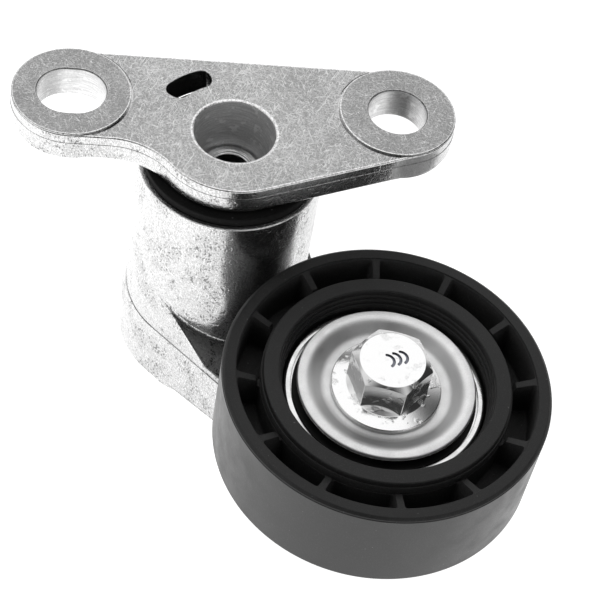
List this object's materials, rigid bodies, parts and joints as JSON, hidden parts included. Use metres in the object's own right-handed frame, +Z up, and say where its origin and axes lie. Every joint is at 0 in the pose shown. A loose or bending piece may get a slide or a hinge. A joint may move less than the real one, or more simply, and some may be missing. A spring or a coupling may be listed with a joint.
{
  "type": "belt tensioner idler",
  "caption": "Spring-loaded belt tensioner: a two-ear cast plate, a swinging arm with a spring cup, and a smooth ribbed idler pulley on a sealed ball bearing.",
  "frame": {"origin": "on the arm's pivot axis, in the plane of the foot, which is the flat head of the pivot pin", "axes": "+Z up along the pivot axis towards the mounting plate, +X along the line of the two ears towards the round bolt hole, +Y towards the plate's straight rear edge"},
  "size_m": [0.1087, 0.0955, 0.0628],
  "materials": {
    "cast_aluminium": "die cast, brushed, lightly scratched, satin",
    "pin_steel": "bright turned steel",
    "natural_nylon": "natural nylon, satin",
    "black_nylon": "black nylon, satin",
    "spring_steel": "oil tempered, shot peened",
    "zinc_bolt": "bright zinc plated",
    "zinc_shield": "pressed sheet steel, satin zinc plate",
    "bearing_steel": "ground and polished",
    "pulley_nylon": "black glass-filled nylon, satin",
    "seal_rubber": "black rubber",
    "cage_steel": "pressed steel sheet"
  },
  "bodies": {
    "base": {"mounting_plate": "cast_aluminium", "pivot_pin": "pin_steel", "retaining_plate": "pin_steel", "thrust_washer": "natural_nylon", "torsion_spring": "spring_steel", "upper_spring_seat": "black_nylon"},
    "arm": {"tensioner_arm": "cast_aluminium", "lower_spring_seat": "black_nylon", "pivot_bushing": "natural_nylon", "upper_bushing": "black_nylon", "damper_ring": "natural_nylon", "pulley_bolt": "zinc_bolt", "front_dust_shield": "zinc_shield", "rear_dust_shield": "zinc_shield", "bearing_inner_ring": "bearing_steel"},
    "pulley": {"pulley_body": "pulley_nylon", "bearing_outer_ring": "bearing_steel", "front_bearing_seal": "seal_rubber", "rear_bearing_seal": "seal_rubber"},
    "ball_cage": {"bearing_cage_front": "cage_steel", "bearing_cage_rear": "cage_steel", "bearing_ball_1": "bearing_steel", "bearing_ball_2": "bearing_steel", "bearing_ball_3": "bearing_steel", "bearing_ball_4": "bearing_steel", "bearing_ball_5": "bearing_steel", "bearing_ball_6": "bearing_steel", "bearing_ball_7": "bearing_steel", "bearing_ball_8": "bearing_steel"}
  },
  "joints": [
    {"name": "arm_pivot", "type": "hinge", "parent": "base", "child": "arm", "pos_m": [0, 0, 0], "axis": [0, 0, 1], "range_deg": [0, 50], "stiffness_Nm_per_rad": 10, "springref_deg": -34.38, "deforming": ["torsion_spring"]},
    {"name": "pulley_spin", "type": "hinge", "parent": "arm", "child": "pulley", "pos_m": [0.0316, -0.043, 0.0307], "axis": [0, 0, 1], "continuous": true},
    {"name": "cage_spin", "type": "hinge", "parent": "arm", "child": "ball_cage", "pos_m": [0.0316, -0.043, 0.031], "axis": [0, 0, 1], "continuous": true}
  ],
  "couplings": [
    {"joint": "cage_spin", "follows": "pulley_spin", "ratio": 0.6182}
  ]
}
